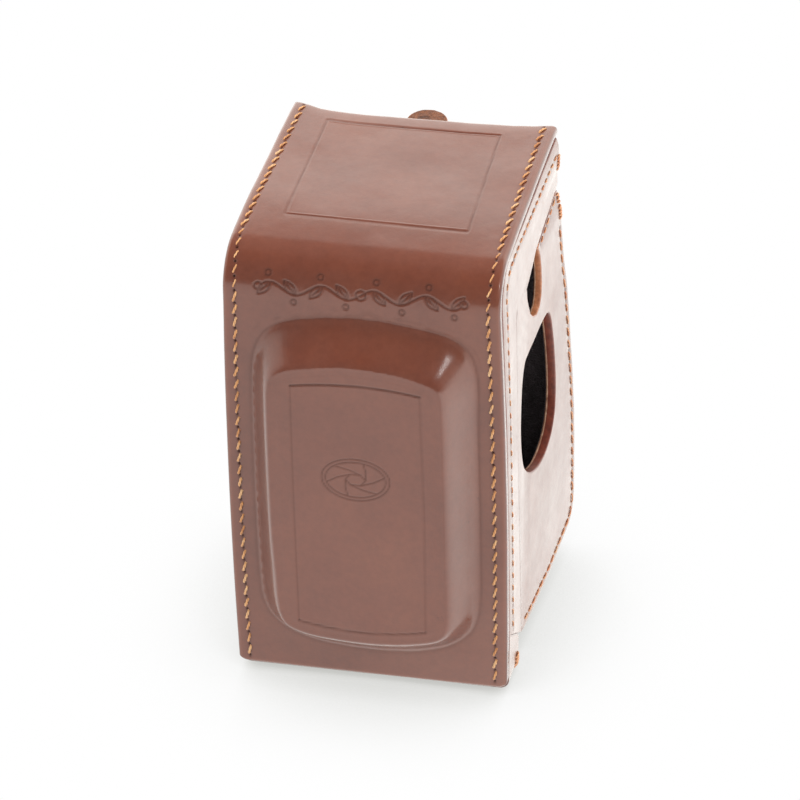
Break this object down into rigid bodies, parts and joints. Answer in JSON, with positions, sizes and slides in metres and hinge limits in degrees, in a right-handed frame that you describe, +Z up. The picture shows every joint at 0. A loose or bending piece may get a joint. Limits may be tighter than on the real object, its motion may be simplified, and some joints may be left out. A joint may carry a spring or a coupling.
{
  "type": "twin lens camera leather case",
  "caption": "Leather ever-ready case for a twin lens camera: hinged front cover with moulded lens bulge, flared side flaps with openings, low rear half with camera screw.",
  "frame": {"origin": "centre of the case's footprint, on the underside of the outer sole", "axes": "+X to the right of somebody facing the front, +Y from the front to the rear, +Z up"},
  "size_m": [0.1006, 0.1177, 0.1638],
  "materials": {
    "case_leather": "smooth glossy chestnut-brown cowhide with fine grain",
    "raw_leather": "rough flesh side of the hide, mottled tan",
    "black_plush": "short-pile black plush lining",
    "orange_thread": "waxed twisted linen thread, tan orange",
    "nickel": "nickel plated, knurled edge",
    "brass_fitting": "lacquered brass, slightly worn"
  },
  "bodies": {
    "rear_half": {"rear_panel": "case_leather", "right_rear_gusset": "case_leather", "left_rear_gusset": "case_leather", "right_gusset_lining": "black_plush", "left_gusset_lining": "black_plush", "rear_lining": "black_plush", "base_sole": "case_leather", "screw_retainer": "brass_fitting", "retainer_rivets": "brass_fitting", "closure_tab_root": "raw_leather", "closure_socket": "brass_fitting", "rear_panel_thread": "orange_thread"},
    "front_cover": {"front_top_panel": "case_leather", "front_top_lining": "black_plush", "right_side_panel": "case_leather", "left_side_panel": "case_leather", "right_side_lining": "black_plush", "left_side_lining": "black_plush", "right_corner_stiffener": "raw_leather", "left_corner_stiffener": "raw_leather", "bottom_sill": "case_leather", "hinge_strip": "case_leather", "lid_stud": "brass_fitting", "right_front_seam_thread": "orange_thread", "left_front_seam_thread": "orange_thread", "right_side_seam_thread": "orange_thread", "left_side_seam_thread": "orange_thread", "right_strip_tack": "orange_thread", "left_strip_tack": "orange_thread", "sill_tacks": "orange_thread"},
    "right_flap": {"right_wing": "case_leather", "right_wing_lining": "black_plush", "right_wing_thread": "orange_thread", "right_wing_tack": "orange_thread"},
    "left_flap": {"left_wing": "case_leather", "left_wing_lining": "black_plush", "left_wing_thread": "orange_thread", "left_wing_tack": "orange_thread"},
    "pull_tab": {"closure_tab": "raw_leather"},
    "screw": {"camera_screw": "nickel", "screw_circlip": "nickel"}
  },
  "joints": [
    {"name": "cover_hinge", "type": "hinge", "parent": "rear_half", "child": "front_cover", "pos_m": [0, -0.02685, 0], "axis": [1, 0, 0], "range_deg": [0, 165]},
    {"name": "right_flap_fold", "type": "hinge", "parent": "front_cover", "child": "right_flap", "pos_m": [0.045, -0.02185, 0.0086], "axis": [0, -0.1353, -0.9908], "range_deg": [-3, 40]},
    {"name": "left_flap_fold", "type": "hinge", "parent": "front_cover", "child": "left_flap", "pos_m": [-0.045, -0.02185, 0.0086], "axis": [0, 0.1353, 0.9908], "range_deg": [-3, 40]},
    {"name": "pull_tab_fold", "type": "hinge", "parent": "rear_half", "child": "pull_tab", "pos_m": [0, 0.04565, 0.1558], "axis": [1, 0, 0], "range_deg": [-75, 12]},
    {"name": "camera_screw_turn", "type": "hinge", "parent": "rear_half", "child": "screw", "pos_m": [0, 0.01015, 0.0036], "axis": [0, 0, 1], "continuous": true}
  ]
}
